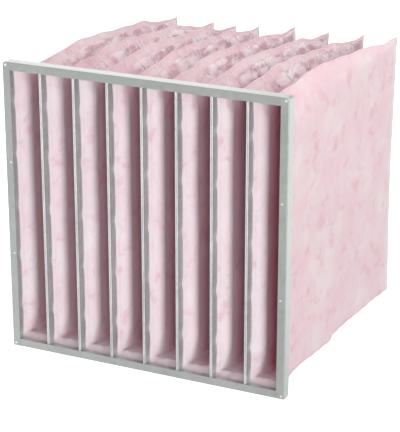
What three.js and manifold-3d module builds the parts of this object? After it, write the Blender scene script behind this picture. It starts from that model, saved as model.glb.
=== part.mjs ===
// Pocket air filter: a folded steel header, eight steel pocket frames and eight fibre pockets.
// Millimetres. X runs across the face to the right, Y from the face back along the pockets, Z up.
// Shapes are drawn with the front face at Y = 0, and the whole is then moved forward by half the
// header's depth, so that the origin is the middle of the header's underside.

import * as THREE from 'three';
import { mergeVertices } from 'three/addons/utils/BufferGeometryUtils.js';
import Module from 'manifold-3d';

// Driving dimensions

const clearance = 0.3;

const header = {
  width: 592,
  height: 592,
  depth: 25,
  sheet: 0.8,
  frontFlange: 16,
  rearFlange: 12,
  cornerRadius: 6,
  bendRadius: 1.4,
};

// The row of pocket frames stands this far inside the header's outer faces.
const packMargin = 9;
const pocketCount = 8;

// Each pocket frame is a strip folded to a U that opens to the rear and grips the pocket's mouth.
const strip = {
  sheet: 0.6,
  nose: 2.6,
  noseRadius: 0.5,
  innerLeg: 19,
  gapBetween: 0.35,
};

const pocket = {
  length: 600,
  wall: 3,
  clampedThickness: 0.8,
  endBand: 12,
  endThickness: 3,
  seamFin: 4,
  seamDepth: 9,
  puckerHeight: 1,
  puckerPitch: 82,
  sideWave: 2.5,
  rearPull: 14,
};

// How a bag's form runs from its throat back. The narrowing and the lean are powers of the share of
// the way. A section is square at the throat. Once it is settled it is a pointed arch above and
// has a rounded foot below. The shoulder's and the arch's sizes are multiples of the half width.
const form = {
  narrowing: 0.8,
  leaning: 1.2,
  settledBy: 0.12,
  throatShoulder: 1.1,
  archCentre: 1.6,
  archDepth: 2.3,
  footDepth: 0.6,
  puckerShift: 0.37,
  waveUp: 7,
  waveBack: 5,
  waveShift: 2,
};

// How far each pocket's rear end leans to the right, and how far its rear tip is below the header.
const rearLean = [36, 53, 34, 16, 28, 33, 39, 40];
const tipDrop = [33, 37, 38, 35, 28, 30, 29, 24];

// The top seam's height against the header's top, and the bottom seam's against the ground, where
// each pair is a share of the way back and a height. The rear end's own height comes from tipDrop.
const topSeam = [[0.16, -8], [0.31, 1], [0.75, -12]];
const bottomSeam = [[0.1, 8], [0.2, 8], [0.44, 0], [0.6, 8], [0.83, 5], [1, 0]];

// Corner rivets hold the header's laps, and pins hold the outer pocket frames to its side flanges.
const rivet = { inset: 6, shank: 2.4, head: 5, dome: 1, tail: 3.6, tailLength: 1 };
const pin = { fromMiddle: 95, shank: 1.4, head: 4.6, dome: 1, radialGap: 0.2 };

const roundSides = 12;
const cornerSteps = 3;
const bendSteps = 2;

// A cutter runs this far past the faces that it cuts.
const overshoot = 1;

// Worked out from the driving dimensions

const halfWidth = header.width / 2;
const middleHeight = header.height / 2;
const packWidth = header.width - 2 * packMargin;
const packHeight = header.height - 2 * packMargin;
const pitch = packWidth / pocketCount;
const frameWidth = pitch - strip.gapBetween;
const noseFront = header.sheet + clearance;
const outerLegEnd = header.depth - header.sheet - clearance;
const innerLegEnd = noseFront + strip.innerLeg;

// The laps behind the header's corners, beside the row of pocket frames.
const lapWidth = packMargin - clearance;
const tongueFront = header.sheet + 3 * clearance;

// The pocket's mouth in the slot of its strip, and its throat past the header's rear flange.
const slotFront = noseFront + strip.sheet + clearance;
const slotHalfWidth = (frameWidth - strip.nose) / 2;
const slotHalfHeight = (packHeight - strip.nose) / 2;
const throatInset = header.rearFlange - packMargin + clearance;
const throatHalfWidth = pitch / 2 - throatInset;
const throatHalfHeight = packHeight / 2 - throatInset;
const bodyStart = header.depth + clearance;
const bodyEnd = pocket.length - pocket.endBand;

const steel = { color: 0xb9bcbd, roughness: 0.42, metalness: 0.75 };
const zinc = { color: 0xd2d6d6, roughness: 0.3, metalness: 0.8 };
const fibre = { color: 0xead9dc, roughness: 0.95, metalness: 0 };

// Solids and meshes

const wasm = await Module();
wasm.setup();

function toSolid(geometry) {
  geometry.deleteAttribute('normal');
  geometry.deleteAttribute('uv');
  const merged = mergeVertices(geometry, 1e-4);
  const mesh = new wasm.Mesh({
    numProp: 3,
    vertProperties: Float32Array.from(merged.attributes.position.array),
    triVerts: Uint32Array.from(merged.index.array),
  });
  return new wasm.Manifold(mesh);
}

function toGeometry(solid) {
  const mesh = solid.getMesh();
  const geometry = new THREE.BufferGeometry();
  geometry.setAttribute('position', new THREE.BufferAttribute(Float32Array.from(mesh.vertProperties), 3));
  geometry.setIndex(new THREE.BufferAttribute(Uint32Array.from(mesh.triVerts), 1));
  geometry.computeVertexNormals();
  return geometry;
}

function namedMesh(name, geometry, look) {
  const mesh = new THREE.Mesh(geometry, new THREE.MeshStandardMaterial(look));
  mesh.name = name;
  return mesh;
}

function block(low, high) {
  const size = high.map((value, axis) => value - low[axis]);
  const middle = high.map((value, axis) => (value + low[axis]) / 2);
  return toSolid(new THREE.BoxGeometry(...size).translate(...middle));
}

// A round hole along Y through everything from the face to the given depth.
function hole(radius, x, z, depth) {
  const cutter = new THREE.CylinderGeometry(radius, radius, 2 * depth, roundSides);
  return toSolid(cutter.translate(x, 0, z));
}

// A closed surface through rings of points. Each ring is closed in itself, and the last one joins
// the first.
function closedTube(rings) {
  const sides = rings[0].length;
  const index = [];
  rings.forEach((ring, row) => {
    const next = (row + 1) % rings.length;
    for (let side = 0; side < sides; side += 1) {
      const beside = (side + 1) % sides;
      const a = row * sides + side;
      const b = row * sides + beside;
      const c = next * sides + beside;
      const d = next * sides + side;
      index.push(a, b, c, a, c, d);
    }
  });
  const geometry = new THREE.BufferGeometry().setFromPoints(rings.flat());
  geometry.setIndex(index);
  geometry.computeVertexNormals();
  return geometry;
}

// Header

function headerOutline(inset) {
  const half = halfWidth - inset;
  const bottom = inset;
  const top = header.height - inset;
  const radius = Math.max(header.cornerRadius - inset, 0);
  const outline = new THREE.Shape();
  outline.moveTo(-half, bottom);
  outline.lineTo(half, bottom);
  outline.lineTo(half, top - radius);
  if (radius > 0) {
    outline.absarc(half - radius, top - radius, radius, 0, Math.PI / 2, false);
    outline.lineTo(radius - half, top);
    outline.absarc(radius - half, top - radius, radius, Math.PI / 2, Math.PI, false);
  } else {
    outline.lineTo(half, top);
    outline.lineTo(-half, top);
  }
  return outline;
}

function headerBlock() {
  const outer = new THREE.ExtrudeGeometry(headerOutline(0), {
    depth: header.depth - 2 * header.bendRadius,
    curveSegments: cornerSteps,
    bevelThickness: header.bendRadius,
    bevelSize: header.bendRadius,
    bevelOffset: -header.bendRadius,
    bevelSegments: bendSteps,
  });
  return toSolid(outer.rotateX(Math.PI / 2).translate(0, header.depth - header.bendRadius, 0));
}

// The header's outline, inset all round, as a plain prism between two depths.
function headerPrism(inset, fromY, toY) {
  const prism = new THREE.ExtrudeGeometry(headerOutline(inset), {
    depth: toY - fromY,
    curveSegments: cornerSteps,
    bevelEnabled: false,
  });
  return toSolid(prism.rotateX(Math.PI / 2).translate(0, toY, 0));
}

// The opening that a flange of the given width leaves in the front or the rear face.
function faceOpening(flange, fromY, toY) {
  const half = halfWidth - flange;
  return block([-half, fromY, flange], [half, toY, header.height - flange]);
}

// The header's channel all the way round, before it is parted into strip and rail.
function headerRing() {
  const middle = header.depth / 2;
  return headerBlock()
    .subtract(headerPrism(header.sheet, header.sheet, header.depth - header.sheet))
    .subtract(faceOpening(header.frontFlange, -overshoot, middle))
    .subtract(faceOpening(header.rearFlange, middle, header.depth + overshoot));
}

function cornerHole(side, z) {
  const x = side * (halfWidth - rivet.inset);
  return hole(rivet.shank / 2 + clearance, x, z, header.depth / 2);
}

function pinHole(side, height) {
  const x = side * (packWidth / 2 - strip.nose / 2);
  return hole(pin.shank / 2 + pin.radialGap, x, middleHeight + height, header.depth / 2);
}

// One strip, folded to a channel and bent round both top corners, with a lap under each.
function upperHeader(ring) {
  const railHalf = halfWidth - header.frontFlange;
  const webHalf = halfWidth - header.sheet - clearance;
  const webFront = header.sheet + clearance;
  const past = header.depth + overshoot;
  let solid = ring
    .subtract(block([-railHalf, -overshoot, -overshoot], [railHalf, past, header.frontFlange + overshoot]))
    .subtract(block([-webHalf, webFront, -overshoot], [webHalf, header.depth - webFront, webFront]));
  const lapPlate = headerPrism(header.sheet / 2, header.sheet / 2, 2 * header.sheet);
  for (const side of [-1, 1]) {
    const inner = side * (halfWidth - lapWidth);
    const outer = side * halfWidth;
    const corner = block(
      [Math.min(inner, outer), -overshoot, header.height - lapWidth],
      [Math.max(inner, outer), header.depth, header.height],
    );
    solid = solid.add(lapPlate.intersect(corner));
    solid = solid.subtract(cornerHole(side, header.height - rivet.inset));
    solid = solid.subtract(cornerHole(side, rivet.inset));
    for (const height of [-pin.fromMiddle, pin.fromMiddle]) {
      solid = solid.subtract(pinHole(side, height));
    }
  }
  return toGeometry(solid);
}

// The rail across the bottom, with a tongue behind each side flange.
function bottomRail(ring) {
  const half = halfWidth - header.frontFlange - clearance;
  const webHalf = halfWidth - header.sheet - 2 * clearance;
  const webFront = header.sheet + 2 * clearance;
  const past = header.depth + overshoot;
  const main = block([-half, -overshoot, -overshoot], [half, past, header.frontFlange + overshoot]);
  const web = block([-webHalf, webFront, -overshoot], [webHalf, header.depth - webFront, webFront]);
  let solid = ring.intersect(main.add(web));
  for (const side of [-1, 1]) {
    const inner = side * (half - header.sheet);
    const outer = side * (webHalf - clearance);
    const tongue = block(
      [Math.min(inner, outer), tongueFront, header.sheet / 2],
      [Math.max(inner, outer), tongueFront + header.sheet, lapWidth],
    );
    solid = solid.add(tongue).subtract(cornerHole(side, rivet.inset));
  }
  return toGeometry(solid);
}

// Pocket frames

// The folded strip's section, where each pair is a distance in from the frame's side and a depth.
function stripSection() {
  const { sheet, nose, noseRadius } = strip;
  return [
    [0, outerLegEnd],
    [0, noseFront + noseRadius],
    [noseRadius, noseFront],
    [nose - noseRadius, noseFront],
    [nose, noseFront + noseRadius],
    [nose, innerLegEnd],
    [nose - sheet, innerLegEnd],
    [nose - sheet, noseFront + sheet],
    [sheet, noseFront + sheet],
    [sheet, outerLegEnd],
  ];
}

// The section carried round the pocket's four corners. Its middle is at X = 0.
function pocketFrame() {
  const corners = [[1, 1], [1, -1], [-1, -1], [-1, 1]];
  const rings = corners.map(([across, up]) => stripSection().map(([inward, depth]) => new THREE.Vector3(
    across * (frameWidth / 2 - inward),
    depth,
    middleHeight + up * (packHeight / 2 - inward),
  )));
  return closedTube(rings);
}

// The first and last frames have holes for the pins, on the side that is next to the header.
function pocketFrameFor(number, mouthX) {
  const geometry = pocketFrame();
  const side = number === 0 ? -1 : 1;
  if (number > 0 && number < pocketCount - 1) {
    return geometry;
  }
  let solid = toSolid(geometry);
  for (const height of [-pin.fromMiddle, pin.fromMiddle]) {
    solid = solid.subtract(pinHole(side, height).translate([-mouthX, 0, 0]));
  }
  return toGeometry(solid);
}

// Pockets

// A height along a seam, eased from each of its points to the next.
function seamHeight(points, share) {
  const last = points.length - 1;
  const found = points.findIndex(([at]) => at >= share);
  const next = Math.max(found < 0 ? last : found, 1);
  const [fromShare, fromHeight] = points[next - 1];
  const [toShare, toHeight] = points[next];
  const way = THREE.MathUtils.smoothstep(share, fromShare, toShare);
  return THREE.MathUtils.lerp(fromHeight, toHeight, way);
}

// The angles of a section's points, from its top seam down its right side to its bottom seam. The
// straight flank between the two shoulders is parted into equal steps.
const shoulderAngles = [90, 67, 45, 15].map(THREE.MathUtils.degToRad);
const flankSteps = 4;

// Points of a section's right half, each a share of the half width and of the shoulder's height.
function squarePoint(angle) {
  return [Math.min(1, 1 / Math.tan(angle)), Math.min(1, Math.tan(angle))];
}

function roundPoint(angle) {
  return [Math.cos(angle), Math.sin(angle)];
}

function archPoint(angle) {
  const radius = 1 + form.archCentre;
  const across = Math.cos(angle);
  const crown = Math.sqrt(radius ** 2 - form.archCentre ** 2);
  return [across, Math.sqrt(radius ** 2 - (form.archCentre + across) ** 2) / crown];
}

// A shoulder's points from the seam to the flank, square at the throat and settled further back.
function shoulderPoints(settledPoint, settled) {
  return shoulderAngles.map((angle) => {
    const goal = settledPoint(angle);
    return squarePoint(angle).map((value, axis) => THREE.MathUtils.lerp(value, goal[axis], settled));
  });
}

// A section's right half, from the top seam to the bottom seam, as pairs of X and Z.
function halfSection({ half, top, bottom, shoulder, foot, settled, fin }) {
  const crest = shoulderPoints(archPoint, settled);
  const upper = crest.map(([across, up]) => [half * across, top - shoulder * (1 - up)]);
  const sole = shoulderPoints(roundPoint, settled);
  const lower = sole.map(([across, up]) => [half * across, bottom + foot * (1 - up)]).reverse();
  upper.slice(1).forEach((point) => {
    point[1] -= fin;
  });
  const flank = [];
  const [, flankTop] = upper[upper.length - 1];
  const [, flankBottom] = lower[0];
  for (let step = 1; step < flankSteps; step += 1) {
    flank.push([half, THREE.MathUtils.lerp(flankTop, flankBottom, step / flankSteps)]);
  }
  return [...upper, ...flank, ...lower];
}

// A closed section: down the right side and up the left.
function wholeSection(section) {
  const right = halfSection(section);
  const left = right.slice(1, -1).reverse().map(([x, z]) => [-x, z]);
  return [...right, ...left];
}

function rectangleRing(half, halfHeight, y) {
  const section = wholeSection({
    half,
    top: middleHeight + halfHeight,
    bottom: middleHeight - halfHeight,
    shoulder: half,
    foot: half,
    settled: 0,
    fin: 0,
  });
  return section.map(([x, z]) => new THREE.Vector3(x, y, z));
}

// A ring of the pocket's body, at a share of the way from the header to the end band. The inset is
// 0 on the outside, and the wall on the inside.
function bodyRing(number, share, inset, y) {
  const open = Math.min(share, 1);
  const throatTop = middleHeight + throatHalfHeight - header.height;
  const top = [[0, throatTop], ...topSeam, [1, -tipDrop[number % tipDrop.length]]];
  const bottom = [[0, middleHeight - throatHalfHeight], ...bottomSeam];
  const endHalf = pocket.endThickness / 2;
  const full = endHalf + (throatHalfWidth - endHalf) * (1 - open) ** form.narrowing;
  const half = full - inset;
  const settled = THREE.MathUtils.smoothstep(open, 0, form.settledBy);
  const seamInset = inset > 0 ? THREE.MathUtils.lerp(inset, pocket.seamDepth, settled) : 0;
  const shoulder = THREE.MathUtils.lerp(form.throatShoulder, form.archDepth, settled);
  const foot = THREE.MathUtils.lerp(form.throatShoulder, form.footDepth, settled);
  const turn = 2 * Math.PI * ((y - bodyStart) / pocket.puckerPitch + number * form.puckerShift);
  const pucker = pocket.puckerHeight * settled * Math.sin(turn);
  const section = wholeSection({
    half,
    top: header.height + seamHeight(top, open) - seamInset + (inset > 0 ? 0 : pucker),
    bottom: seamHeight(bottom, open) + inset + (inset > 0 ? 0 : Math.abs(pucker)),
    shoulder: shoulder * half + pocket.seamFin,
    foot: foot * half + pocket.seamFin,
    settled,
    fin: inset > 0 ? 0 : pocket.seamFin * settled,
  });
  const lean = rearLean[number % rearLean.length] * open ** form.leaning;
  return section.map(([x, z]) => {
    const up = THREE.MathUtils.clamp(z / header.height, 0, 1);
    const wavePhase = form.waveUp * up + form.waveBack * open + form.waveShift * number;
    const wave = pocket.sideWave * Math.sin(Math.PI * open) * Math.sin(wavePhase);
    const pull = pocket.rearPull * open ** 3 * Math.sin(Math.PI * up);
    return new THREE.Vector3(x + lean + wave * Math.sin(Math.PI * up), y - pull, z);
  });
}

function bodyRings(number, inset, steps, endShare) {
  const rings = [];
  for (let step = 1; step <= steps; step += 1) {
    const share = endShare * (step / steps);
    const y = THREE.MathUtils.lerp(bodyStart, bodyEnd, share);
    rings.push(bodyRing(number, share, inset, y));
  }
  return rings;
}

const outerSteps = 11;
const innerSteps = 7;
const cavityShare = 0.95;

// A closed bag: the inside from its far end to the mouth, then the outside from the mouth back. Its
// mouth's middle is at X = 0.
function pocketBag(number) {
  const clamped = pocket.clampedThickness / 2;
  const outside = [
    rectangleRing(slotHalfWidth + clamped, slotHalfHeight + clamped, slotFront),
    rectangleRing(slotHalfWidth + clamped, slotHalfHeight + clamped, innerLegEnd + clearance),
    rectangleRing(throatHalfWidth, throatHalfHeight, outerLegEnd),
    rectangleRing(throatHalfWidth, throatHalfHeight, bodyStart),
    ...bodyRings(number, 0, outerSteps, 1),
    bodyRing(number, 1, 0, pocket.length),
  ];
  const inside = [
    rectangleRing(slotHalfWidth - clamped, slotHalfHeight - clamped, slotFront),
    rectangleRing(slotHalfWidth - clamped, slotHalfHeight - clamped, innerLegEnd + clearance),
    rectangleRing(throatHalfWidth - pocket.wall, throatHalfHeight - pocket.wall, bodyStart),
    ...bodyRings(number, pocket.wall, innerSteps, cavityShare),
  ];
  return bagSurface([...inside.reverse(), ...outside]);
}

// An open tube through the rings, with its first and last rings closed across from side to side.
function bagSurface(rings) {
  const sides = rings[0].length;
  const index = [];
  for (let row = 0; row + 1 < rings.length; row += 1) {
    for (let side = 0; side < sides; side += 1) {
      const beside = (side + 1) % sides;
      const a = row * sides + side;
      const b = row * sides + beside;
      const c = (row + 1) * sides + beside;
      const d = (row + 1) * sides + side;
      index.push(a, b, c, a, c, d);
    }
  }
  const last = (rings.length - 1) * sides;
  for (let side = 0; side < sides / 2; side += 1) {
    const across = (sides - side) % sides;
    const acrossNext = sides - side - 1;
    if (side > 0) {
      index.push(side, across, side + 1);
      index.push(last + side, last + side + 1, last + across);
    }
    if (side + 1 < sides / 2) {
      index.push(side + 1, across, acrossNext);
      index.push(last + side + 1, last + acrossNext, last + across);
    }
  }
  const geometry = new THREE.BufferGeometry().setFromPoints(rings.flat());
  geometry.setIndex(index);
  geometry.computeVertexNormals();
  return geometry;
}

// Rivets and pins

// A domed head in front of the face, a shank through it and, on a rivet, a wider tail behind.
function fastener({ shank, head, dome }, shankLength, tail, tailLength) {
  const domeSteps = 2;
  const profile = [];
  for (let step = 0; step <= domeSteps; step += 1) {
    const angle = (step / domeSteps) * (Math.PI / 2);
    profile.push(new THREE.Vector2((head / 2) * Math.sin(angle), -dome * Math.cos(angle)));
  }
  profile.push(new THREE.Vector2(shank / 2, 0));
  profile.push(new THREE.Vector2(shank / 2, shankLength));
  if (tailLength > 0) {
    profile.push(new THREE.Vector2(tail / 2, shankLength));
    profile.push(new THREE.Vector2(tail / 2, shankLength + tailLength));
  }
  profile.push(new THREE.Vector2(0, shankLength + tailLength));
  return new THREE.LatheGeometry(profile, roundSides);
}

// The filter

const filter = new THREE.Group();
filter.position.y = -header.depth / 2;

const ring = headerRing();
filter.add(namedMesh('upper_header', upperHeader(ring), steel));
filter.add(namedMesh('bottom_rail', bottomRail(ring), steel));

for (let number = 0; number < pocketCount; number += 1) {
  const mouthX = (number - (pocketCount - 1) / 2) * pitch;
  const frame = namedMesh(`pocket_frame_${number + 1}`, pocketFrameFor(number, mouthX), zinc);
  const bag = namedMesh(`pocket_${number + 1}`, pocketBag(number), fibre);
  frame.position.x = mouthX;
  bag.position.x = mouthX;
  filter.add(frame, bag);
}

// A rivet's grip is the flange and the lap or tongue behind it.
const rivetLevels = [
  { level: 'top', z: header.height - rivet.inset, grip: 2 * header.sheet },
  { level: 'bottom', z: rivet.inset, grip: tongueFront + header.sheet },
];
const pinLevels = [
  { level: 'upper', z: middleHeight + pin.fromMiddle },
  { level: 'lower', z: middleHeight - pin.fromMiddle },
];
const pinLength = slotFront - clearance / 2;

for (const [word, side] of [['left', -1], ['right', 1]]) {
  for (const { level, z, grip } of rivetLevels) {
    const shape = fastener(rivet, grip + clearance / 2, rivet.tail, rivet.tailLength);
    const piece = namedMesh(`${level}_${word}_rivet`, shape, steel);
    piece.position.set(side * (halfWidth - rivet.inset), 0, z);
    filter.add(piece);
  }
  for (const { level, z } of pinLevels) {
    const piece = namedMesh(`${level}_${word}_pin`, fastener(pin, pinLength, 0, 0), steel);
    piece.position.set(side * (packWidth / 2 - strip.nose / 2), 0, z);
    filter.add(piece);
  }
}

export default filter;
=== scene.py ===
"""Bag air filter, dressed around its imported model. Metres, +X right, +Y back along the pockets, +Z up."""

import itertools
import math

import bmesh
import bpy
import numpy as np
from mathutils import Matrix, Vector


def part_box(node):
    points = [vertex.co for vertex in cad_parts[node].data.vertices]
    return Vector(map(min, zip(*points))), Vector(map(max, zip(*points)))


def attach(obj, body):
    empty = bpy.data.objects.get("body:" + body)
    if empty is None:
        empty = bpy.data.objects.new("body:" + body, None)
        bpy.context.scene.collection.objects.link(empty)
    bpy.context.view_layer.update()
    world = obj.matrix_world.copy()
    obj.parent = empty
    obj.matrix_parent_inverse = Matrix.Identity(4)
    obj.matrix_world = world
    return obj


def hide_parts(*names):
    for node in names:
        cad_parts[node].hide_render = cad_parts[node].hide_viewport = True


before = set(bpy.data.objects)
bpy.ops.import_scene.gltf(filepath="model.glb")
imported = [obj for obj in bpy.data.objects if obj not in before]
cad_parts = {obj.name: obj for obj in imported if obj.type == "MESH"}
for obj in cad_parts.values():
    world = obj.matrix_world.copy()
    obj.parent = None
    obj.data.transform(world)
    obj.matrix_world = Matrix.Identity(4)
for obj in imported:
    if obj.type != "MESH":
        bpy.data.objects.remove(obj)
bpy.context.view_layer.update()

# Header
#
# The real header is one galvanised strip folded to a channel and bent round the top corners, with a
# second length of the same channel across the bottom. Its solids are carried over as they are.

header_low, header_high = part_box("upper_header")
WIDTH = header_high[0] - header_low[0]
HEIGHT = header_high[2] - header_low[2]
FRONT = header_low[1]
HEADER_BACK = header_high[1]

# Marks of the zinc, as numbers to a metre: clouds of 110 mm, rolling streaks of 17 mm, 4 mm grain
SHEET_CLOUDS = 9
SHEET_STREAKS = 60
SHEET_GRAINS = 240
ROLLED_LONGER = (0.25, 1, 0.25)

# Weights of the marks in the grey, and how far the roughness goes down and up with it
SPANGLE_WEIGHT = 0.18
CLOUD_WEIGHT = 0.62
STREAK_WEIGHT = 0.20
SMOOTHER_BY = 0.06
ROUGHER_BY = 0.08
METAL_SHARE = 0.6


def linear(code):
    """An sRGB hex code as a linear colour: below the knee a division, above it a power of 2.4."""
    parts = np.array([int(code[at:at + 2], 16) for at in (1, 3, 5)]) / 255
    light = np.where(parts <= 0.04045, parts / 12.92, ((parts + 0.055) / 1.055) ** 2.4)
    return (*light.tolist(), 1.0)


def add_node(tree, kind, inputs, out=0, stops=(), **settings):
    """A node with its settings, its inputs set or linked, and its ramp stops. Gives one output."""
    made = tree.nodes.new(kind)
    for key, value in settings.items():
        setattr(made, key, value)
    for key, value in inputs.items():
        if isinstance(value, bpy.types.NodeSocket):
            tree.links.new(value, made.inputs[key])
        else:
            made.inputs[key].default_value = value
    for index, (at, code) in enumerate(stops):
        if index == len(made.color_ramp.elements):
            made.color_ramp.elements.new(1.0)
        made.color_ramp.elements[index].position = at
        made.color_ramp.elements[index].color = linear(code)
    return made.outputs[out]


def new_material(name):
    """A material with its node tree, its surface shader and its Object coordinates."""
    made = bpy.data.materials.new(name)
    made.use_nodes = True
    tree = made.node_tree
    return made, tree, tree.nodes["Principled BSDF"], add_node(tree, "ShaderNodeTexCoord", {}, "Object")


def galvanised_sheet(name, light, dark, roughness, spangle):
    """Hot-dip zinc on rolled steel: soft grey crystals, faint rolling streaks and an uneven satin gloss.

    The grey is a weighted sum of the crystal's own tone, a slow cloud and a streak along the sheet.
    The spangle is the width of one crystal.
    """
    made, tree, surface, place = new_material(name)
    crystals = add_node(tree, "ShaderNodeTexVoronoi", {"Vector": place, "Scale": 1 / spangle}, "Color")
    tone = add_node(tree, "ShaderNodeSeparateColor", {"Color": crystals}, "Red")
    slow = {"Vector": place, "Scale": SHEET_CLOUDS, "Detail": 4, "Distortion": 0.4}
    cloud = add_node(tree, "ShaderNodeTexNoise", slow)
    rolled = add_node(tree, "ShaderNodeMapping", {"Vector": place, "Scale": ROLLED_LONGER})
    streak = add_node(tree, "ShaderNodeTexNoise", {"Vector": rolled, "Scale": SHEET_STREAKS, "Detail": 3})
    grain = add_node(tree, "ShaderNodeTexNoise", {"Vector": place, "Scale": SHEET_GRAINS, "Detail": 2})
    grey = add_node(tree, "ShaderNodeMath", {0: tone, 1: SPANGLE_WEIGHT}, operation="MULTIPLY")
    for mark, weight in ((cloud, CLOUD_WEIGHT), (streak, STREAK_WEIGHT)):
        grey = add_node(tree, "ShaderNodeMath", {0: mark, 1: weight, 2: grey}, operation="MULTIPLY_ADD")
    colour = add_node(tree, "ShaderNodeValToRGB", {"Fac": grey}, stops=[(0.3, dark), (0.7, light)])
    limits = {"Value": grey, "To Min": roughness - SMOOTHER_BY, "To Max": roughness + ROUGHER_BY}
    gloss = add_node(tree, "ShaderNodeMapRange", limits)
    height = add_node(tree, "ShaderNodeMath", {0: streak, 1: grain}, operation="ADD")
    bump = add_node(tree, "ShaderNodeBump", {"Height": height, "Strength": 0.06, "Distance": 0.0004})
    surface.inputs["Metallic"].default_value = METAL_SHARE
    tree.links.new(colour, surface.inputs["Base Color"])
    tree.links.new(gloss, surface.inputs["Roughness"])
    tree.links.new(bump, surface.inputs["Normal"])
    return made


header_sheet = galvanised_sheet("galvanised_header", "#ACAFAC", "#9BA09D", roughness=0.38, spangle=0.011)
for name in ("upper_header", "bottom_rail"):
    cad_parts[name].material_slots[0].material = header_sheet

# Rivets and pins
#
# Blind rivets hold the channel at its corners, and small domed pins stand on the side flanges. They
# are zinc-plated steel, brighter and smoother than the sheet around them.

plated_steel = galvanised_sheet("zinc_plated_rivet", "#E7E8E8", "#DADBDB", roughness=0.22, spangle=0.003)
for name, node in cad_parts.items():
    if name.endswith("_rivet") or name.endswith("_pin"):
        node.material_slots[0].material = plated_steel

# Pocket frames
#
# Each pocket's mouth is gripped in a ring of thin galvanised strip, folded to a U round the cloth.
# The inner leg is pressed onto the cloth at short crimps, and springs off it a little between them.

POCKETS = sum(1 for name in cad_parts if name.startswith("pocket_frame_"))
STRIP_SHEET = 0.0006
STRIP_NOSE = 0.0026
STRIP_STEP = 0.004
NOSE_BEND = 0.45 * STRIP_NOSE
NOSE_TURNS = np.radians([0, 18, 36, 54, 72, 90])
INNER_LEG = 0.019
LEG_ROWS = 6
FOLD_ANGLE = math.radians(35)
FEWEST_STEPS = 8

# Crimps of the inner leg, and the bow between them, which starts a little behind the nose
CRIMP_SPACING = 0.106
CRIMP_LENGTH = 0.022
CRIMP_DEPTH = 0.0008
CRIMP_POWER = 1.5
SPRUNG_OUT = 0.0014
SPRINGS_FROM = 0.01
SPRINGS_FULLY = 0.05
FREE_FROM = 0.004
FREE_FULLY = 0.010


def smoothstep(value, low, high):
    """0 below low, 1 above high, and 3s^2 - 2s^3 of the share s between them."""
    share = np.clip((value - low) / (high - low), 0.0, 1.0)
    return share * share * (3 - 2 * share)


def mix(a, b, share):
    """a + (b - a) times the share."""
    return a + (b - a) * share


def ring_faces(rows, sides, closed):
    """Four-sided faces between neighbouring rings, where each ring closes in itself."""
    row, side = np.meshgrid(np.arange(rows if closed else rows - 1), np.arange(sides), indexing="ij")
    after, beside = (row + 1) % rows, (side + 1) % sides
    corners = [row * sides + side, row * sides + beside, after * sides + beside, after * sides + side]
    return np.stack(corners, axis=2).reshape(-1, 4).tolist()


def closed_piece(name, points, faces, materials, replaced=None):
    """A smooth closed mesh whose faces point outwards. It rides on the filter's one body."""
    mesh = bpy.data.meshes.new(name)
    mesh.from_pydata(points.reshape(-1, 3).tolist(), [], faces)
    mesh.validate()
    solid = bmesh.new()
    solid.from_mesh(mesh)
    bmesh.ops.recalc_face_normals(solid, faces=solid.faces)
    solid.to_mesh(mesh)
    solid.free()
    mesh.shade_smooth()
    for material in materials:
        mesh.materials.append(material)
    made = bpy.data.objects.new(name, mesh)
    bpy.context.scene.collection.objects.link(made)
    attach(made, "root")
    if replaced:
        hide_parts(replaced)
    return made


def crimp_amount(along, length):
    """(1/2 + 1/2 cos(pi s)) to the crimp's power, s being the share of a crimp's length from its middle.

    The crimps are evenly spaced, with one of them at the middle of the side.
    """
    middle = along - length / 2
    reach = math.floor((length / 2 - CRIMP_LENGTH) / CRIMP_SPACING)
    nearest = np.clip(np.round(middle / CRIMP_SPACING), -reach, reach) * CRIMP_SPACING
    share = np.clip(np.abs(middle - nearest) / CRIMP_LENGTH, 0, 1)
    return np.where(along > 0, (0.5 + 0.5 * np.cos(math.pi * share)) ** CRIMP_POWER, 0.0)


def strip_section(front, outer_end, inner_end):
    """The folded U in section: distances in from the frame's side, and depths. The nose is rounded."""
    bend_in = NOSE_BEND * (1 - np.cos(NOSE_TURNS))
    bend_back = front + NOSE_BEND * (1 - np.sin(NOSE_TURNS))
    outer_bend = np.stack([bend_in, bend_back], 1)
    inner_bend = outer_bend[::-1] * [-1, 1] + [STRIP_NOSE, 0]
    depths = np.linspace(front + NOSE_BEND, inner_end, LEG_ROWS + 1)[1:]
    inner_face = np.stack([np.full(LEG_ROWS, STRIP_NOSE), depths], 1)
    slot_side = inner_face[::-1] - [STRIP_SHEET, 0]
    rest = [
        (STRIP_NOSE - STRIP_SHEET, front + STRIP_SHEET),
        (STRIP_SHEET, front + STRIP_SHEET),
        (STRIP_SHEET, outer_end),
    ]
    return np.concatenate([[(0.0, outer_end)], outer_bend, inner_bend, inner_face, slot_side, rest])


def frame_side(start, end, middle, section, front):
    """Rings along one side: the section set in from the line, mitred towards the frame's middle."""
    length = np.abs(end - start).sum()
    steps = max(int(length / STRIP_STEP), FEWEST_STEPS)
    share = np.arange(steps) / steps
    between = smoothstep(np.minimum(share, 1 - share) * length, SPRINGS_FROM, SPRINGS_FULLY)
    pressed = mix(-SPRUNG_OUT * between, CRIMP_DEPTH, crimp_amount(share * length, length))
    inward, depth = section.T
    free = smoothstep(depth, front + FREE_FROM, front + FREE_FULLY) * (inward > STRIP_NOSE / 2)
    set_in = (inward - pressed[:, None] * free)[:, :, None]
    from_start = start + np.sign(middle - start) * set_in
    to_end = end + np.sign(middle - end) * set_in
    flat = mix(from_start, to_end, share[:, None, None])
    deep = np.broadcast_to(depth, flat.shape[:2])
    return np.stack([flat[:, :, 0], deep, flat[:, :, 1]], axis=2)


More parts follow.
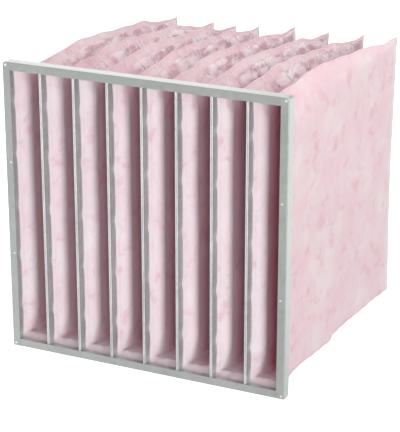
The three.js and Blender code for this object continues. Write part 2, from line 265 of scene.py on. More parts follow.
strip_zinc = galvanised_sheet("galvanised_strip", "#D7DBDA", "#BDC1C2", roughness=0.34, spangle=0.006)
for number in range(1, POCKETS + 1):
    low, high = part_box(f"pocket_frame_{number}")
    section = strip_section(low[1], high[1], low[1] + INNER_LEG)
    corners = np.array([(low[0], low[2]), (high[0], low[2]), (high[0], high[2]), (low[0], high[2])])
    ends = np.roll(corners, -1, axis=0)
    middle = corners.mean(axis=0)
    rings = np.concatenate([frame_side(a, b, middle, section, low[1]) for a, b in zip(corners, ends)])
    made = closed_piece(
        f"crimped_frame_{number}",
        rings,
        ring_faces(len(rings), len(section), True),
        [strip_zinc],
        f"pocket_frame_{number}",
    )
    made.data.set_sharp_from_angle(angle=FOLD_ANGLE)

# Pockets
#
# Each pocket is a bag of lofted synthetic fibre, about 3 mm thick, sewn along its top and its bottom
# and pressed flat at its rear edge. It is square at the mouth and narrows all the way back.

WALL = 0.003
CLAMPED = 0.0004
REAR_FLANGE = 0.012
CLEARANCE = 0.0003
POCKET_LENGTH = 0.600
END_BAND = 0.012
END_THICKNESS = 0.003
BODY_START = HEADER_BACK + CLEARANCE
BODY_END = FRONT + POCKET_LENGTH - END_BAND

# How the bag narrows, puckers, waves and leans, and how its tips drop, on its way to the rear edge
NARROWING = 0.8
SETTLED_BY = 0.12
SEAM_FIN = 0.004
SEAM_DEPTH = 0.009
PUCKER_HEIGHT = 0.0010
PUCKER_PITCH = 0.082
PUCKER_SHIFT = 0.37
SIDE_WAVE = 0.0025
WAVE_UP = 7
WAVE_BACK = 5
WAVE_SHIFT = 2
REAR_PULL = 0.014
PULL_POWER = 3
REAR_LEAN = [0.036, 0.053, 0.034, 0.016, 0.028, 0.033, 0.039, 0.040]
LEAN_POWER = 1.2
TIP_DROP = [0.033, 0.037, 0.038, 0.035, 0.028, 0.030, 0.029, 0.024]
EAR_FLICK = 0.006
EAR_FROM = 0.72
TOP_SEAM = [(0.16, -0.008), (0.31, 0.001), (0.75, -0.012)]
BOTTOM_SEAM = [
    (0.1, 0.008),
    (0.2, 0.008),
    (0.31, 0.003),
    (0.44, 0.0),
    (0.455, 0.007),
    (0.56, 0.009),
    (0.7, 0.008),
    (0.83, 0.005),
    (1.0, 0.0),
]

# Rows and columns of the pocket's mesh, from the seam round to the seam again
SHOULDER_STEPS = 14
FLANK_STEPS = 26
CREST_COLUMNS = 5
OUTER_RINGS = 120
END_RINGS = 4
INNER_RINGS = 80
CAVITY_SHARE = 0.95
OUTER_SPACING = 1.15
INNER_SPACING = 1.6
FIN_HALF = 0.0008
FIN_FOOT = 0.12
FIN_TOP = 0.9

# Shape of the section, as shares of the half width: a pointed arch above and a rounded foot below
CORNER_SPACING = 0.9
ALMOST_UPRIGHT = 1.5707
THROAT_SHOULDER = 1.1
ARCH_CENTRE = 1.6
ARCH_DEPTH = 2.3
FOOT_DEPTH = 0.6
FOOT_SETTLES = (0.08, 0.30)
SQUARE_SIDE = 0.0015
SQUARE_FLOOR = 0.005

# Gathers of the top seam, soft dents of the panels and tufts of the fibre, as heights and widths
GATHER_REACH = 0.045
GATHER_HEIGHT = 0.0030
GATHER_SIZE = 0.020
GATHER_SLANT = (0.8, 0.45)
GATHER_CREST = 0.3
GATHER_CREASE = 2.4
GATHERS_FULLY = 0.018
DENT_HEIGHT = 0.0020
DENT_SIZE = 0.085
TUFT_HEIGHT = 0.0008
TUFT_SIZE = 0.028
GROUND_GAP = 0.0002

# The mouth, where the fibre swells out again behind the steel, and the folded lip on its floor
LIP_START = 0.022
LIP_CREST = 0.046
LIP_FLAT = 0.050
LIP_END = 0.086
LIP_SIDE = 0.012
LIP_CORNER = 0.045
LIP_UNEVEN = 0.18
LIP_SWELLING = 0.09
LIP_SIDES = (0.4, 0.9)
FLOOR_CREST = 0.033
FLOOR_END = 0.052
FLOOR_RISE = 0.006
FLOOR_REACH = (0.004, 0.020)
FLOOR_FOLDS = 130
FLOOR_LEVEL = 0.5
FLOOR_SLOPE = 0.25
FLOOR_FOLD_HEIGHT = 0.4

# Places in the bag's list of materials
IN_FIBRE = 0
IN_EDGE = 1
IN_LINING = 2
IN_GATHERED_AND_SHADED = 3

# Soft random unevenness: its lattice, its level and a seed for each kind
NOISE_CELLS = 64
NOISE_LEVEL = 0.6
GATHER_SEED = 10
DENT_SEED = 30
TUFT_SEED = 50
LIP_SEED = 70

# Marks of the fibre, as numbers to a metre: clouds of 50 mm, spots of 24 mm, strands of 11 mm,
# wrinkles of 17 mm at the gathers, tufts of 8 mm and hairs of 1 mm
CLOUDS = 20
SPOTS = 42
STRANDS = 95
WRINKLES = 60
TUFTS = 120
HAIRS = 900
EDGE_CLOUDS = 60
EDGE_HAIRS = 700

# Scales of the three axes: the smaller one is, the longer it draws the marks out that way
LAID_LONGER = (1, 0.55, 0.8)
STRAND_LONGER = (1, 0.9, 0.45)
WRINKLE_LONGER = (1, 0.38, 0.9)

# Colours of the lofted fibre. A cloud goes from pink to whitish, and spots and strands darken it
FIBRE_CLOUDS = [(0.36, "#E6C6CE"), (0.52, "#E7CED3"), (0.66, "#E9D6D9")]
LINING_CLOUDS = [(0.36, "#F3E2E7"), (0.52, "#F6E7EC"), (0.66, "#F6EBEF")]
# Pinks of the fibre at the gathers: partly its own mottling, partly painted light and shade of the
# wrinkles, and painted shade from the pocket beside it.
GATHER_CLOUDS_AND_SHADE = [(0.40, "#CEA6B3"), (0.50, "#ECD4DB"), (0.58, "#F9EDF0")]
FIBRE_SPOTS = [(0.30, "#F7DFE7"), (0.44, "#FFFFFF")]
FIBRE_STRANDS = [(0.28, "#F3E2E7"), (0.40, "#FCF9FA"), (0.66, "#FFFFFF")]
# Painted shade and glow: deep in each pocket the lining's colour is multiplied darker and redder, for the
# shade there and for light that comes through the fibre. The last pocket on the right, lit from outside,
# gets a stronger red painted glow. It grows between the two depths below.
DEEP_PAINTED_SHADE = "#FCDDE6"
OUTER_PAINTED_GLOW = "#FFC8D7"
DEEP_PAINTED_SHADE_FROM = 0.050
DEEP_PAINTED_SHADE_FULLY = 0.100
# Where that colour and its painted shade are mixed in: growing towards the top and from behind the header
# back. The roof next to the header keeps the plain, lighter fibre.
GATHERED_AND_SHADED_FROM = 0.38
GATHERED_AND_SHADED_FULLY = 0.50
GATHERED_AND_SHADED_SHARE = 0.85
PLAIN_UNTIL = 0.06
GATHERED_AND_SHADED_BEHIND = 0.22
SPOTS_SHARE = 0.8
STRANDS_SHARE = 0.5
HAIRS_SHARE = 0.35

# How far light goes into the fibre, in all and as shares for red, green and blue
LIGHT_DEPTH = 0.005
LIGHT_SPREAD = (1.0, 0.4, 0.45)


def lofted_fibre(name, clouds, painted_deep_shade=None, shaded_gathered=False):
    """Non-woven polyester fibre, air-laid: matt, soft and unevenly dyed, with fine hairs on it.

    A painted deep shade multiplies the lining darker and redder deep in the pocket: painted shade, and
    painted glow of the light that comes through the fibre.
    Fibre at the gathers is more mottled towards the top seam: partly its own mottling, partly painted light
    and shade of the wrinkles and painted shade from the pocket beside it.
    """
    made, tree, surface, place = new_material(name)
    laid = add_node(tree, "ShaderNodeMapping", {"Vector": place, "Scale": LAID_LONGER})
    upright = add_node(tree, "ShaderNodeMapping", {"Vector": place, "Scale": STRAND_LONGER})
    wide = {"Vector": laid, "Scale": CLOUDS, "Detail": 5, "Distortion": 0.3}
    cloud = add_node(tree, "ShaderNodeTexNoise", wide)
    small = {"Vector": laid, "Scale": SPOTS, "Detail": 5, "Distortion": 0.3}
    spots = add_node(tree, "ShaderNodeTexNoise", small)
    thin = {"Vector": upright, "Scale": STRANDS, "Detail": 4, "Distortion": 0.5}
    strands = add_node(tree, "ShaderNodeTexNoise", thin)
    colour = add_node(tree, "ShaderNodeValToRGB", {"Fac": cloud}, stops=clouds)
    spotted = add_node(tree, "ShaderNodeValToRGB", {"Fac": spots}, stops=FIBRE_SPOTS)
    stranded = add_node(tree, "ShaderNodeValToRGB", {"Fac": strands}, stops=FIBRE_STRANDS)
    darkened = {"data_type": "RGBA", "blend_type": "MULTIPLY"}
    colour = add_node(tree, "ShaderNodeMix", {0: SPOTS_SHARE, 6: colour, 7: spotted}, 2, **darkened)
    colour = add_node(tree, "ShaderNodeMix", {0: STRANDS_SHARE, 6: colour, 7: stranded}, 2, **darkened)
    depth = add_node(tree, "ShaderNodeSeparateXYZ", {"Vector": place}, "Y")
    # Mottling at the gathers, partly painted: its darker pinks are painted shade of the wrinkles and of the
    # neighbouring pocket. It is mixed in towards the top and further back.
    if shaded_gathered:
        folded = add_node(tree, "ShaderNodeMapping", {"Vector": place, "Scale": WRINKLE_LONGER})
        fine = {"Vector": folded, "Scale": WRINKLES, "Detail": 7, "Distortion": 0.2}
        wrinkles = add_node(tree, "ShaderNodeTexNoise", fine)
        tone = add_node(tree, "ShaderNodeValToRGB", {"Fac": wrinkles}, stops=GATHER_CLOUDS_AND_SHADE)
        height = add_node(tree, "ShaderNodeSeparateXYZ", {"Vector": place}, "Z")
        limits = {"Value": height, "From Min": GATHERED_AND_SHADED_FROM, "From Max": GATHERED_AND_SHADED_FULLY}
        gathers_and_shade_near_top = add_node(tree, "ShaderNodeMapRange", {**limits, "To Max": GATHERED_AND_SHADED_SHARE})
        limits = {"Value": depth, "From Min": FRONT + PLAIN_UNTIL, "From Max": FRONT + GATHERED_AND_SHADED_BEHIND}
        behind = add_node(tree, "ShaderNodeMapRange", limits)
        share = add_node(tree, "ShaderNodeMath", {0: gathers_and_shade_near_top, 1: behind}, operation="MULTIPLY")
        colour = add_node(tree, "ShaderNodeMix", {0: share, 6: colour, 7: tone}, 2, data_type="RGBA")
    # Painted shade and glow: further back in the pocket the colour is multiplied darker and redder.
    if painted_deep_shade:
        limits = {"Value": depth, "From Min": FRONT + DEEP_PAINTED_SHADE_FROM, "From Max": FRONT + DEEP_PAINTED_SHADE_FULLY}
        deep = add_node(tree, "ShaderNodeMapRange", limits)
        painted_shade_inputs = {0: 1.0, 6: colour, 7: linear(painted_deep_shade)}
        painted_deep_colour = add_node(tree, "ShaderNodeMix", painted_shade_inputs, 2, **darkened)
        colour = add_node(tree, "ShaderNodeMix", {0: deep, 6: colour, 7: painted_deep_colour}, 2, data_type="RGBA")
    hairs = add_node(tree, "ShaderNodeTexNoise", {"Vector": place, "Scale": HAIRS, "Detail": 3})
    curled = {"Vector": laid, "Scale": TUFTS, "Detail": 5, "Distortion": 0.8}
    tufts = add_node(tree, "ShaderNodeTexNoise", curled)
    both = {0: hairs, 1: HAIRS_SHARE, 2: tufts}
    height = add_node(tree, "ShaderNodeMath", both, operation="MULTIPLY_ADD")
    bump = add_node(tree, "ShaderNodeBump", {"Height": height, "Strength": 0.3, "Distance": 0.0014})
    tree.links.new(colour, surface.inputs["Base Color"])
    tree.links.new(bump, surface.inputs["Normal"])
    surface.inputs["Roughness"].default_value = 0.95
    surface.inputs["Sheen Weight"].default_value = 0.25
    surface.inputs["Sheen Roughness"].default_value = 0.5
    surface.inputs["Subsurface Weight"].default_value = 0.3
    surface.inputs["Subsurface Radius"].default_value = LIGHT_SPREAD
    surface.inputs["Subsurface Scale"].default_value = LIGHT_DEPTH
    surface.inputs["Specular IOR Level"].default_value = 0.2
    return made


def pressed_fibre(name):
    """The same fibre welded flat at the rear edge: paler, greyer and smoother."""
    made, tree, surface, place = new_material(name)
    cloud = add_node(tree, "ShaderNodeTexNoise", {"Vector": place, "Scale": EDGE_CLOUDS, "Detail": 4})
    stops = [(0.35, "#DDD4D6"), (0.65, "#EAE5E5")]
    colour = add_node(tree, "ShaderNodeValToRGB", {"Fac": cloud}, stops=stops)
    hairs = add_node(tree, "ShaderNodeTexNoise", {"Vector": place, "Scale": EDGE_HAIRS, "Detail": 2})
    bump = add_node(tree, "ShaderNodeBump", {"Height": hairs, "Strength": 0.25, "Distance": 0.0006})
    tree.links.new(colour, surface.inputs["Base Color"])
    tree.links.new(bump, surface.inputs["Normal"])
    surface.inputs["Roughness"].default_value = 0.85
    surface.inputs["Sheen Weight"].default_value = 0.1
    return made


def soft_noise(points, size, seed):
    """Random values on a cubic lattice of the given size, eased by 3s^2 - 2s^3 between its points."""
    lattice = np.random.default_rng(seed).uniform(-NOISE_LEVEL, NOISE_LEVEL, (NOISE_CELLS,) * 3)
    place = points / size
    cell = np.floor(place).astype(int)
    ease = smoothstep(place - cell, 0.0, 1.0)
    value = np.zeros(points.shape[:-1])
    for corner in itertools.product((0, 1), repeat=3):
        at = (cell + corner) % NOISE_CELLS
        weight = np.where(corner, ease, 1 - ease).prod(axis=-1)
        value += weight * lattice[at[..., 0], at[..., 1], at[..., 2]]
    return value


def outward_normals(rings):
    """Unit normals of a grid of rings: the cross product of the ways along and around it."""
    around = np.roll(rings, -1, axis=1) - np.roll(rings, 1, axis=1)
    normal = np.cross(np.gradient(rings, axis=0), around)
    normal /= np.maximum(np.linalg.norm(normal, axis=2, keepdims=True), 1e-12)
    outward = ((rings - rings.mean(axis=1, keepdims=True)) * normal).sum(axis=2).mean()
    return normal if outward > 0 else -normal


def seam_height(points, share):
    """A height along a seam, eased from each of its points to the next."""
    height = np.full_like(share, points[0][1])
    for (from_share, from_height), (to_share, to_height) in zip(points, points[1:]):
        way = smoothstep(share, from_share, to_share)
        height = np.where(share >= from_share, mix(from_height, to_height, way), height)
    return height


def shoulder_curve(settled, arched):
    """Shares of the half width and of the shoulder's height, from the seam to the flank.

    It is a square corner at the throat, and once settled a pointed arch or a quarter circle.
    """
    way = (np.arange(SHOULDER_STEPS) / (SHOULDER_STEPS - 0.5)) ** CORNER_SPACING
    angles = np.radians(90 * (1 - way))
    tangent = np.maximum(np.tan(np.minimum(angles, ALMOST_UPRIGHT)), 1e-9)
    square = np.stack([np.minimum(1, 1 / tangent), np.minimum(1, tangent)])
    across, up = np.cos(angles), np.sin(angles)
    if arched:
        radius = 1 + ARCH_CENTRE
        up = np.sqrt(radius**2 - (ARCH_CENTRE + across) ** 2) / math.sqrt(radius**2 - ARCH_CENTRE**2)
    shape = mix(square[:, None, :], np.stack([across, up])[:, None, :], settled[None, :, None])
    return shape[0], shape[1]


def section_rings(half, top, bottom, shoulder, foot, settled, foot_settled, fin):
    """Closed sections, one for each entry: down the right side and up the left, with X and Z."""
    across, up = shoulder_curve(settled, True)
    upper_x = half[:, None] * across
    upper_z = top[:, None] - shoulder[:, None] * (1 - up) - fin[:, None]
    across, up = shoulder_curve(foot_settled, False)
    lower_x = (half[:, None] * across)[:, ::-1]
    lower_z = (bottom[:, None] + foot[:, None] * (1 - up))[:, ::-1]
    steps = np.arange(1, FLANK_STEPS) / FLANK_STEPS
    flank_z = mix(upper_z[:, -1:], lower_z[:, :1], steps[None, :])
    flank_x = np.repeat(half[:, None], FLANK_STEPS - 1, axis=1)
    fin_x = np.minimum(FIN_HALF, half)[:, None] * np.array([[0.0, 1.0, 1.0]])
    fin_z = top[:, None] - fin[:, None] * np.array([[0.0, FIN_FOOT, FIN_TOP]])
    x = np.concatenate([fin_x, upper_x[:, 1:], flank_x, lower_x], axis=1)
    z = np.concatenate([fin_z, upper_z[:, 1:], flank_z, lower_z], axis=1)
    return np.concatenate([x, -x[:, -2:0:-1]], axis=1), np.concatenate([z, z[:, -2:0:-1]], axis=1)


def ruffled(rings, top, settled, floor, number):
    """Rings moved along their normals by gathers below the top seam, soft dents and tufts."""
    below = top[:, None] - rings[:, :, 2]
    fading = settled[:, None] * smoothstep(below, SEAM_FIN, GATHERS_FULLY)
    slanted = rings * [1, 1, GATHER_SLANT[1]]
    slanted[:, :, 1] += GATHER_SLANT[0] * rings[:, :, 2]
    folds = soft_noise(slanted, GATHER_SIZE, GATHER_SEED + number)
    dents = soft_noise(rings, DENT_SIZE, DENT_SEED + number)
    tufts = soft_noise(rings, TUFT_SIZE, TUFT_SEED + number)
    creased = GATHER_CREST - GATHER_CREASE * np.abs(folds)
    gathers = np.exp(-np.maximum(below, 0) / GATHER_REACH) * creased
    rise = GATHER_HEIGHT * gathers + DENT_HEIGHT * dents + TUFT_HEIGHT * tufts
    moved = rings + outward_normals(rings) * (rise * fading)[:, :, None]
    moved[:, :, 2] = np.maximum(moved[:, :, 2], floor + GROUND_GAP)
    return moved


class Pocket:
    """One pocket's own places, and the rings of its outside and inside."""

    def __init__(self, number):
        self.number = number
        low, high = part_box(f"pocket_frame_{number}")
        margin = low[2] - header_low[2]
        inset = REAR_FLANGE - margin + CLEARANCE
        self.mouth_x = (low[0] + high[0]) / 2
        self.middle_z = (low[2] + high[2]) / 2
        self.strip_back = high[1]
        self.slot_depths = np.array([low[1] + STRIP_SHEET, low[1] + INNER_LEG]) + CLEARANCE
        self.slot_half = (high[0] - low[0] - STRIP_NOSE) / 2
        self.slot_half_height = (high[2] - low[2] - STRIP_NOSE) / 2
        self.throat_half = (WIDTH - 2 * margin) / POCKETS / 2 - inset
        self.throat_half_height = (high[2] - low[2]) / 2 - inset
        self.floor = self.middle_z - self.throat_half_height

    def square_rings(self, half, half_height, depths):
        """Square-cornered rings at the given depths, inside the steel."""
        even, none = np.ones(len(depths)), np.zeros(len(depths))
        half = half * even
        top, bottom = (self.middle_z + half_height) * even, (self.middle_z - half_height) * even
        x, z = section_rings(half, top, bottom, half, half, none, none, none)
        y = np.broadcast_to(np.array(depths)[:, None], x.shape)
        return np.stack([x + self.mouth_x, y, z], axis=2)

    def body(self, depths, wall):
        """Rings of the bag behind the steel, set in by the wall, which is 0 for the outside."""
        inside = wall > 0
        share = np.clip((depths - BODY_START) / (BODY_END - BODY_START), 0.0, 1.0)
        settled = smoothstep(share, 0.0, SETTLED_BY)
        foot_settled = smoothstep(share, *FOOT_SETTLES) if inside else settled
        squarer = settled - foot_settled
        end_half = END_THICKNESS / 2
        half = end_half + (self.throat_half - end_half) * (1 - share) ** NARROWING
        half = half - wall - SQUARE_SIDE * squarer
        turn = 2 * math.pi * ((depths - BODY_START) / PUCKER_PITCH + (self.number - 1) * PUCKER_SHIFT)
        pucker = (not inside) * PUCKER_HEIGHT * settled * np.sin(turn)
        fin = (not inside) * SEAM_FIN * settled
        seam_inset = inside * mix(wall, SEAM_DEPTH, settled)
        ear = np.clip((share - EAR_FROM) / (1 - EAR_FROM), 0.0, 1.0)
        flick = EAR_FLICK * np.sin(math.pi * ear) ** 2
        throat_top = self.middle_z + self.throat_half_height - HEIGHT
        top_points = [(0.0, throat_top), *TOP_SEAM, (1.0, -TIP_DROP[self.number - 1])]
        top = HEIGHT + seam_height(top_points, share) - seam_inset + pucker - flick
        bottom = seam_height([(0.0, self.floor), *BOTTOM_SEAM], share) + wall + np.abs(pucker)
        bottom = bottom + SQUARE_FLOOR * squarer
        shoulder = mix(THROAT_SHOULDER, ARCH_DEPTH, settled) * half + SEAM_FIN
        foot = mix(THROAT_SHOULDER, FOOT_DEPTH, foot_settled) * half + SEAM_FIN
        x, z = section_rings(half, top, bottom, shoulder, foot, settled, foot_settled, fin)
        up = np.clip(z / HEIGHT, 0.0, 1.0)
        back = share[:, None]
        lean = REAR_LEAN[self.number - 1] * back**LEAN_POWER
        turn = WAVE_UP * up + WAVE_BACK * back + WAVE_SHIFT * (self.number - 1)
        wave = SIDE_WAVE * np.sin(math.pi * back) * np.sin(math.pi * up) * np.sin(turn)
        pull = REAR_PULL * back**PULL_POWER * np.sin(math.pi * up)
        y = np.repeat(depths[:, None], x.shape[1], axis=1) - pull
        rings = np.stack([x + self.mouth_x + lean + wave, y, z], axis=2)
        return ruffled(rings, top, settled, wall, self.number)

    def puffed(self, rings):
        """The inside of the mouth: a swelling behind each leg, and a small folded lip on the floor."""
        x, y, z = rings[:, :, 0] - self.mouth_x, rings[:, :, 1] - FRONT, rings[:, :, 2]
        above = z - self.floor - WALL
        below = 2 * (self.middle_z - z) + above
        corner = np.clip(np.minimum(above, below) / LIP_CORNER, 0.0, 1.0)
        rise = smoothstep(y, LIP_START, LIP_CREST) * (1 - smoothstep(y, LIP_FLAT, LIP_END))
        swelling = soft_noise(rings * [0, 0, 1], LIP_SWELLING, LIP_SEED + self.number)
        uneven = 1 + LIP_UNEVEN * swelling
        side = np.sign(x) * smoothstep(np.abs(x) / self.throat_half, *LIP_SIDES)
        floor_rise = smoothstep(y, LIP_START, FLOOR_CREST) * (1 - smoothstep(y, FLOOR_CREST, FLOOR_END))
        near_floor = 1 - smoothstep(above, *FLOOR_REACH)
        folds = FLOOR_FOLD_HEIGHT * np.abs(np.sin(x * FLOOR_FOLDS + self.number))
        folds += FLOOR_LEVEL + FLOOR_SLOPE * x / self.throat_half
        moved = rings.copy()
        moved[:, :, 0] -= side * LIP_SIDE * rise * corner * uneven
        moved[:, :, 2] += FLOOR_RISE * floor_rise * near_floor * folds
        return moved

    def outside(self):
        """Rings from the slot of the strip, over the bag, to the rear edge."""
        held = CLAMPED / 2
        slot = self.square_rings(self.slot_half + held, self.slot_half_height + held, self.slot_depths)
        throat = self.square_rings(self.throat_half, self.throat_half_height, [self.strip_back])
        way = np.linspace(0.0, 1.0, OUTER_RINGS) ** OUTER_SPACING
        bag = self.body(mix(BODY_START, BODY_END, way), 0.0)
        way = np.arange(1, END_RINGS + 1) / END_RINGS
        band = self.body(mix(BODY_END, FRONT + POCKET_LENGTH, way), 0.0)
        return np.concatenate([slot, throat, bag, band])

    def inside(self):
        """Rings from the slot to the end of the cavity."""
        held = CLAMPED / 2
        slot = self.square_rings(self.slot_half - held, self.slot_half_height - held, self.slot_depths)
        way = CAVITY_SHARE * np.linspace(0.0, 1.0, INNER_RINGS) ** INNER_SPACING
        return np.concatenate([slot, self.puffed(self.body(mix(BODY_START, BODY_END, way), WALL))])


def cap_faces(first, sides):
    """Faces across one closed ring, between its right and left side."""
    rungs = [(at, at + 1, sides - at - 1, (sides - at) % sides) for at in range(sides // 2)]
    return [tuple(first + corner for corner in dict.fromkeys(rung)) for rung in rungs]


def face_materials(number, rows, sides, first_outside):
    """Which material each face of the rings has, in the order of the bag's materials."""
    row, side = np.meshgrid(np.arange(rows - 1), np.arange(sides), indexing="ij")
    right = side < sides // 2
    beside_another = np.where(right, number < POCKETS, number > 1)
    below_crest = np.minimum(side, sides - 1 - side) >= CREST_COLUMNS
    # Painted shade: below the crest columns, a flank that faces another pocket takes the fibre with painted
    # shade. The lit crest and the outer flanks of the end pockets keep the plain fibre.
    index = np.where(beside_another & below_crest, IN_GATHERED_AND_SHADED, IN_FIBRE)
    index = np.where(row >= rows - 1 - END_RINGS, IN_EDGE, index)
    index = np.where(row < first_outside, IN_FIBRE, index)
    return np.where(row < first_outside - 1, IN_LINING, index).ravel()


fibre = lofted_fibre("lofted_fibre", FIBRE_CLOUDS)
# Fibre with painted shade, for the flanks that face another pocket.
shaded_gathered_fibre = lofted_fibre("lofted_fibre_shaded_gathered", FIBRE_CLOUDS, shaded_gathered=True)
# Linings with painted deep shade. The last pocket on the right, lit from outside, takes one with a redder
# painted glow.
lining = lofted_fibre("lofted_fibre_lining_painted_deep_shade", LINING_CLOUDS, DEEP_PAINTED_SHADE)
outer_painted_glow_lining = lofted_fibre("lofted_fibre_outer_painted_glow_lining", LINING_CLOUDS, OUTER_PAINTED_GLOW)
edge = pressed_fibre("pressed_fibre_edge")
bags = []
for number in range(1, POCKETS + 1):
    pocket = Pocket(number)
    outside, inside = pocket.outside(), pocket.inside()
    rings = np.concatenate([inside[::-1], outside])
    rows, sides = rings.shape[:2]
    faces = ring_faces(rows, sides, False) + cap_faces(0, sides) + cap_faces((rows - 1) * sides, sides)
    # The last pocket takes the lining with the redder painted glow.
    materials = [fibre, edge, outer_painted_glow_lining if number == POCKETS else lining, shaded_gathered_fibre]
    name = f"fibre_pocket_{number}"
    made = closed_piece(name, rings, faces, materials, f"pocket_{number}")
    chosen = np.zeros(len(faces), dtype=np.int32)
    of_rings = face_materials(number, rows, sides, len(inside))
    chosen[:len(of_rings)] = of_rings
    chosen[len(of_rings):len(of_rings) + sides // 2] = IN_LINING
    chosen[len(of_rings) + sides // 2:] = IN_EDGE
    made.data.polygons.foreach_set("material_index", chosen)
    bags.append(outside)

# Seam threads
#
# Short ends of the pale sewing thread start beside the top seam and lie part way down one side of
# the pocket. They are thicker here than the real thread, so that they show.

THREADS_A_POCKET = 14
THREAD_RADIUS = 0.0009
THREAD_LIFT = 0.0007
THREAD_SIDES = 6
THREAD_ASIDE = (0.0, 1.0, 0.15)
THREAD_FROM = 0.22
THREAD_SPREAD = 0.70
THREAD_SCATTER = 0.02
THREAD_STEPS = 7
STEPS_BELOW_SEAM = 2
FIRST_ROW = 4
ROWS_LEFT_FREE = 6
FLUFF = 300


def sewing_thread(name):
    """Spun polyester thread: off-white and matt."""
    made, tree, surface, place = new_material(name)
    cloud = add_node(tree, "ShaderNodeTexNoise", {"Vector": place, "Scale": FLUFF, "Detail": 2})
    stops = [(0.3, "#F6F2F1"), (0.7, "#FCF9F8")]
    colour = add_node(tree, "ShaderNodeValToRGB", {"Fac": cloud}, stops=stops)
    tree.links.new(colour, surface.inputs["Base Color"])
    surface.inputs["Roughness"].default_value = 0.9
    return made


def thread_line(number, index, outside, normals):
    """Points just above the bag, from beside the top seam down its side, one row along at each third."""
    rows, sides = outside.shape[:2]
    spread = (index + 0.5) / THREADS_A_POCKET + THREAD_SCATTER * math.sin(5.0 * index + 3.0 * number)
    steps = np.arange(THREAD_STEPS + (index * 5 + number * 3) % 5)
    side = -1 if number == POCKETS or index % 5 == 2 else 1
    slant = 1 if index % 2 else -1
    columns = (side * (steps + STEPS_BELOW_SEAM)) % sides
    first = int(rows * (THREAD_FROM + THREAD_SPREAD * spread))
    row = np.clip(first + slant * (steps // 3), FIRST_ROW, rows - ROWS_LEFT_FREE)
    return outside[row, columns] + normals[row, columns] * THREAD_LIFT


def round_rings(points, radius):
    """Circles of the given radius round a line, square to it."""
    along = np.gradient(points, axis=0)
    first = np.cross(along, THREAD_ASIDE)
    first /= np.linalg.norm(first, axis=1, keepdims=True)
    second = np.cross(along, first)
    second /= np.linalg.norm(second, axis=1, keepdims=True)
    turns = np.linspace(0, 2 * math.pi, THREAD_SIDES, endpoint=False)[None, :, None]
    return points[:, None] + radius * (first[:, None] * np.cos(turns) + second[:, None] * np.sin(turns))


thread = sewing_thread("spun_sewing_thread")
for number, outside in enumerate(bags, start=1):
    normals = outward_normals(outside)
    points, faces = [], []
    for index in range(THREADS_A_POCKET):
        rings = round_rings(thread_line(number, index, outside, normals), THREAD_RADIUS).reshape(-1, 3)
        start = sum(len(line) for line in points)
        last = len(rings) - THREAD_SIDES
        own = ring_faces(len(rings) // THREAD_SIDES, THREAD_SIDES, False)
        own += [tuple(range(THREAD_SIDES)), tuple(range(last, last + THREAD_SIDES))]
        faces += [tuple(start + corner for corner in face) for face in own]
        points.append(rings)
    closed_piece(f"seam_threads_{number}", np.concatenate(points), faces, [thread])

# Floor and background
#
# A white sheet under the filter and a white room around it. The camera and the metal's reflections
# see the room at full white, and it lights the filter at a lower level.

FLOOR_HALF = 30.0
FLOOR_GAP = 0.0008
FLOOR_GLOW = 0.85
ROOM_LIGHT = 0.34

floor_mesh = bpy.data.meshes.new("floor")
corners = [(-1, -1, 0), (1, -1, 0), (1, 1, 0), (-1, 1, 0)]
floor_points = np.array(corners) * FLOOR_HALF - [0, 0, FLOOR_GAP]
floor_mesh.from_pydata(floor_points.tolist(), [], [(0, 1, 2, 3)])
floor = bpy.data.objects.new("floor", floor_mesh)
bpy.context.scene.collection.objects.link(floor)
white_sheet, _, surface, _ = new_material("white_floor_sheet")
surface.inputs["Base Color"].default_value = linear("#F3F3F3")
surface.inputs["Roughness"].default_value = 1.0
surface.inputs["Specular IOR Level"].default_value = 0.0
surface.inputs["Emission Color"].default_value = (1.0, 1.0, 1.0, 1.0)
surface.inputs["Emission Strength"].default_value = FLOOR_GLOW
floor_mesh.materials.append(white_sheet)
floor.visible_diffuse = False
floor.visible_glossy = False
floor.visible_shadow = False

room = bpy.data.worlds.new("white_room")
room.use_nodes = True
room_tree = room.node_tree
by_camera = add_node(room_tree, "ShaderNodeLightPath", {}, "Is Camera Ray")
by_gloss = add_node(room_tree, "ShaderNodeLightPath", {}, "Is Glossy Ray")
by_glass = add_node(room_tree, "ShaderNodeLightPath", {}, "Is Transmission Ray")
seen = add_node(room_tree, "ShaderNodeMath", {0: by_camera, 1: by_gloss}, operation="MAXIMUM")
seen = add_node(room_tree, "ShaderNodeMath", {0: seen, 1: by_glass}, operation="MAXIMUM")
level = add_node(room_tree, "ShaderNodeMapRange", {"Value": seen, "To Min": ROOM_LIGHT, "To Max": 1.0})
background = room_tree.nodes["Background"]
background.inputs["Color"].default_value = (1.0, 1.0, 1.0, 1.0)
room_tree.links.new(level, background.inputs["Strength"])
bpy.context.scene.world = room

# Lamps
#
# A low key lamp lights the face, the right panel and the near part of each mouth. Weak soft lamps
# from above, below, behind and the left keep the other sides readable.

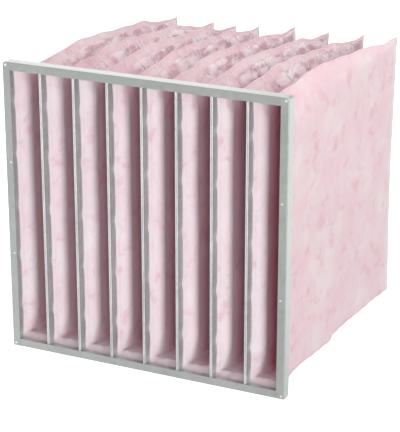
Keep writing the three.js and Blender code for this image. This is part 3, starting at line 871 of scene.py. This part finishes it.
AIMED_AT = Vector((0.0, 0.15, 0.3))


def soft_lamp(name, azimuth, elevation, distance, size, power):
    """A square lamp that looks at the filter's middle. Azimuth is from the face's normal to the right."""
    a, e = math.radians(azimuth), math.radians(elevation)
    away = Vector((math.sin(a) * math.cos(e), -math.cos(a) * math.cos(e), math.sin(e)))
    lamp = bpy.data.lights.new(name, "AREA")
    lamp.shape = "SQUARE"
    lamp.size = size
    lamp.energy = power
    made = bpy.data.objects.new(name, lamp)
    made.location = AIMED_AT + away * distance
    made.rotation_mode = "QUATERNION"
    made.rotation_quaternion = (-away).to_track_quat("-Z", "Y")
    made.visible_camera = False
    bpy.context.scene.collection.objects.link(made)


soft_lamp("key_light", 41.0, 2.5, 9.0, 5.4, 545.0)
soft_lamp("top_light", 105.0, 66.0, 3.0, 1.6, 44.0)
soft_lamp("back_light", -150.0, 25.0, 3.5, 1.4, 12.0)
soft_lamp("rear_panel", 152.0, -8.0, 5.0, 3.6, 50.0)
soft_lamp("low_fill", -46.0, -22.0, 4.0, 2.0, 12.0)
soft_lamp("left_fill", -105.0, 12.0, 5.0, 3.0, 70.0)

# Camera
#
# Fitted to the photograph's header corners and pocket tips, without lens shift, so that the filter
# stays in the frame when it is seen from other sides.

CAMERA_PLACE = (1.385, -2.698, 1.435)
CAMERA_YAW = math.radians(-25.2)
CAMERA_PITCH = math.radians(20.2)
CAMERA_LENS = 141.7

camera_data = bpy.data.cameras.new("photo_camera")
camera_data.lens = CAMERA_LENS
camera_data.sensor_width = 36.0
camera = bpy.data.objects.new("photo_camera", camera_data)
level_part = math.cos(CAMERA_PITCH)
look = Vector((
    math.sin(CAMERA_YAW) * level_part,
    math.cos(CAMERA_YAW) * level_part,
    -math.sin(CAMERA_PITCH),
))
camera.location = CAMERA_PLACE
camera.rotation_mode = "QUATERNION"
camera.rotation_quaternion = look.to_track_quat("-Z", "Y")
bpy.context.scene.collection.objects.link(camera)
bpy.context.scene.camera = camera
bpy.context.scene.view_settings.view_transform = "Standard"
